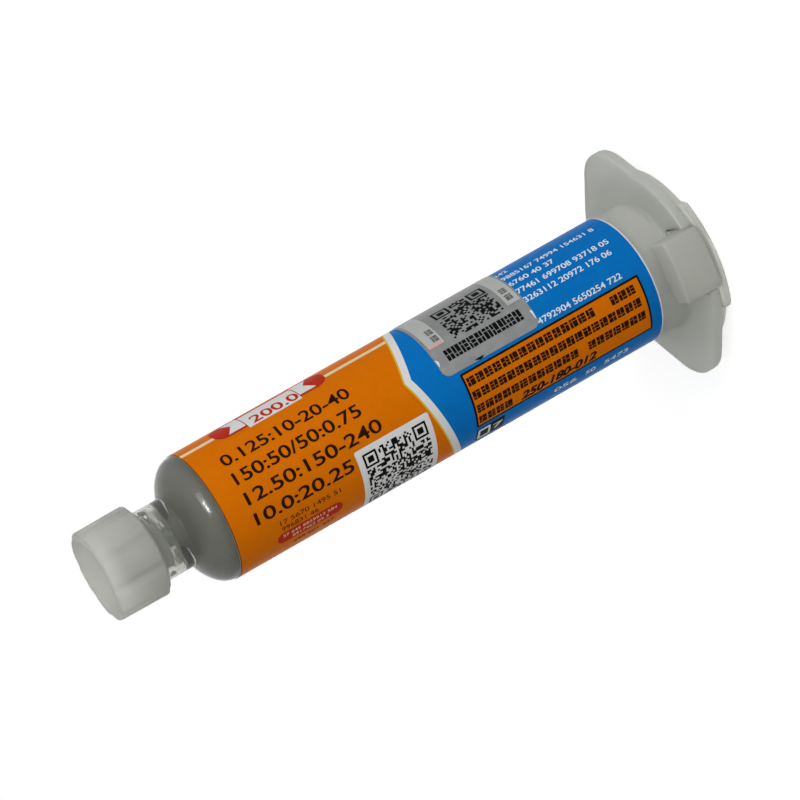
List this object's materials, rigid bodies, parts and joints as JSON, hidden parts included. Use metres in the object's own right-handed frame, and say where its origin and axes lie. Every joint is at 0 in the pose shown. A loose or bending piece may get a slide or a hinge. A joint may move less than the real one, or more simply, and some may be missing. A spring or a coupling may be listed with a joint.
{
  "type": "solder paste dispensing syringe",
  "caption": "Filled dispensing syringe for solder paste: labelled translucent barrel with finger wings, luer lock nozzle, grooved tip cap, piston and snap-in end cap.",
  "frame": {"origin": "on the syringe's axis at the rear face of the end cap, which it stands on", "axes": "+Z along the barrel from the end cap to the tip, X along the flange's two wings, Y across them"},
  "size_m": [0.0344, 0.03, 0.0932],
  "materials": {
    "clear_pp": "moulded translucent polypropylene",
    "milky_pp": "moulded milky polyethylene",
    "piston_pe": "moulded white polyethylene",
    "paste_grey": "grey solder paste, slightly grainy",
    "label_film": "printed self-adhesive film in blue and orange",
    "silver_film": "metallised paper sticker, worn at the edges"
  },
  "bodies": {
    "barrel": {"barrel": "clear_pp", "label": "label_film", "seal_sticker": "silver_film", "paste": "paste_grey"},
    "piston": {"piston": "piston_pe"},
    "end_cap": {"end_cap": "milky_pp"},
    "tip_cap": {"tip_cap": "milky_pp"}
  },
  "joints": [
    {"name": "piston_slide", "type": "slide", "parent": "barrel", "child": "piston", "axis": [0, 0, 1], "range_m": [0, 0.05], "deforming": ["paste"]},
    {"name": "end_cap_pull", "type": "slide", "parent": "barrel", "child": "end_cap", "axis": [0, 0, -1], "range_m": [0, 0.012]},
    {"name": "tip_cap_lift", "type": "slide", "parent": "barrel", "child": "tip_cap", "axis": [0, 0, 1], "range_m": [0, 0.012]}
  ]
}
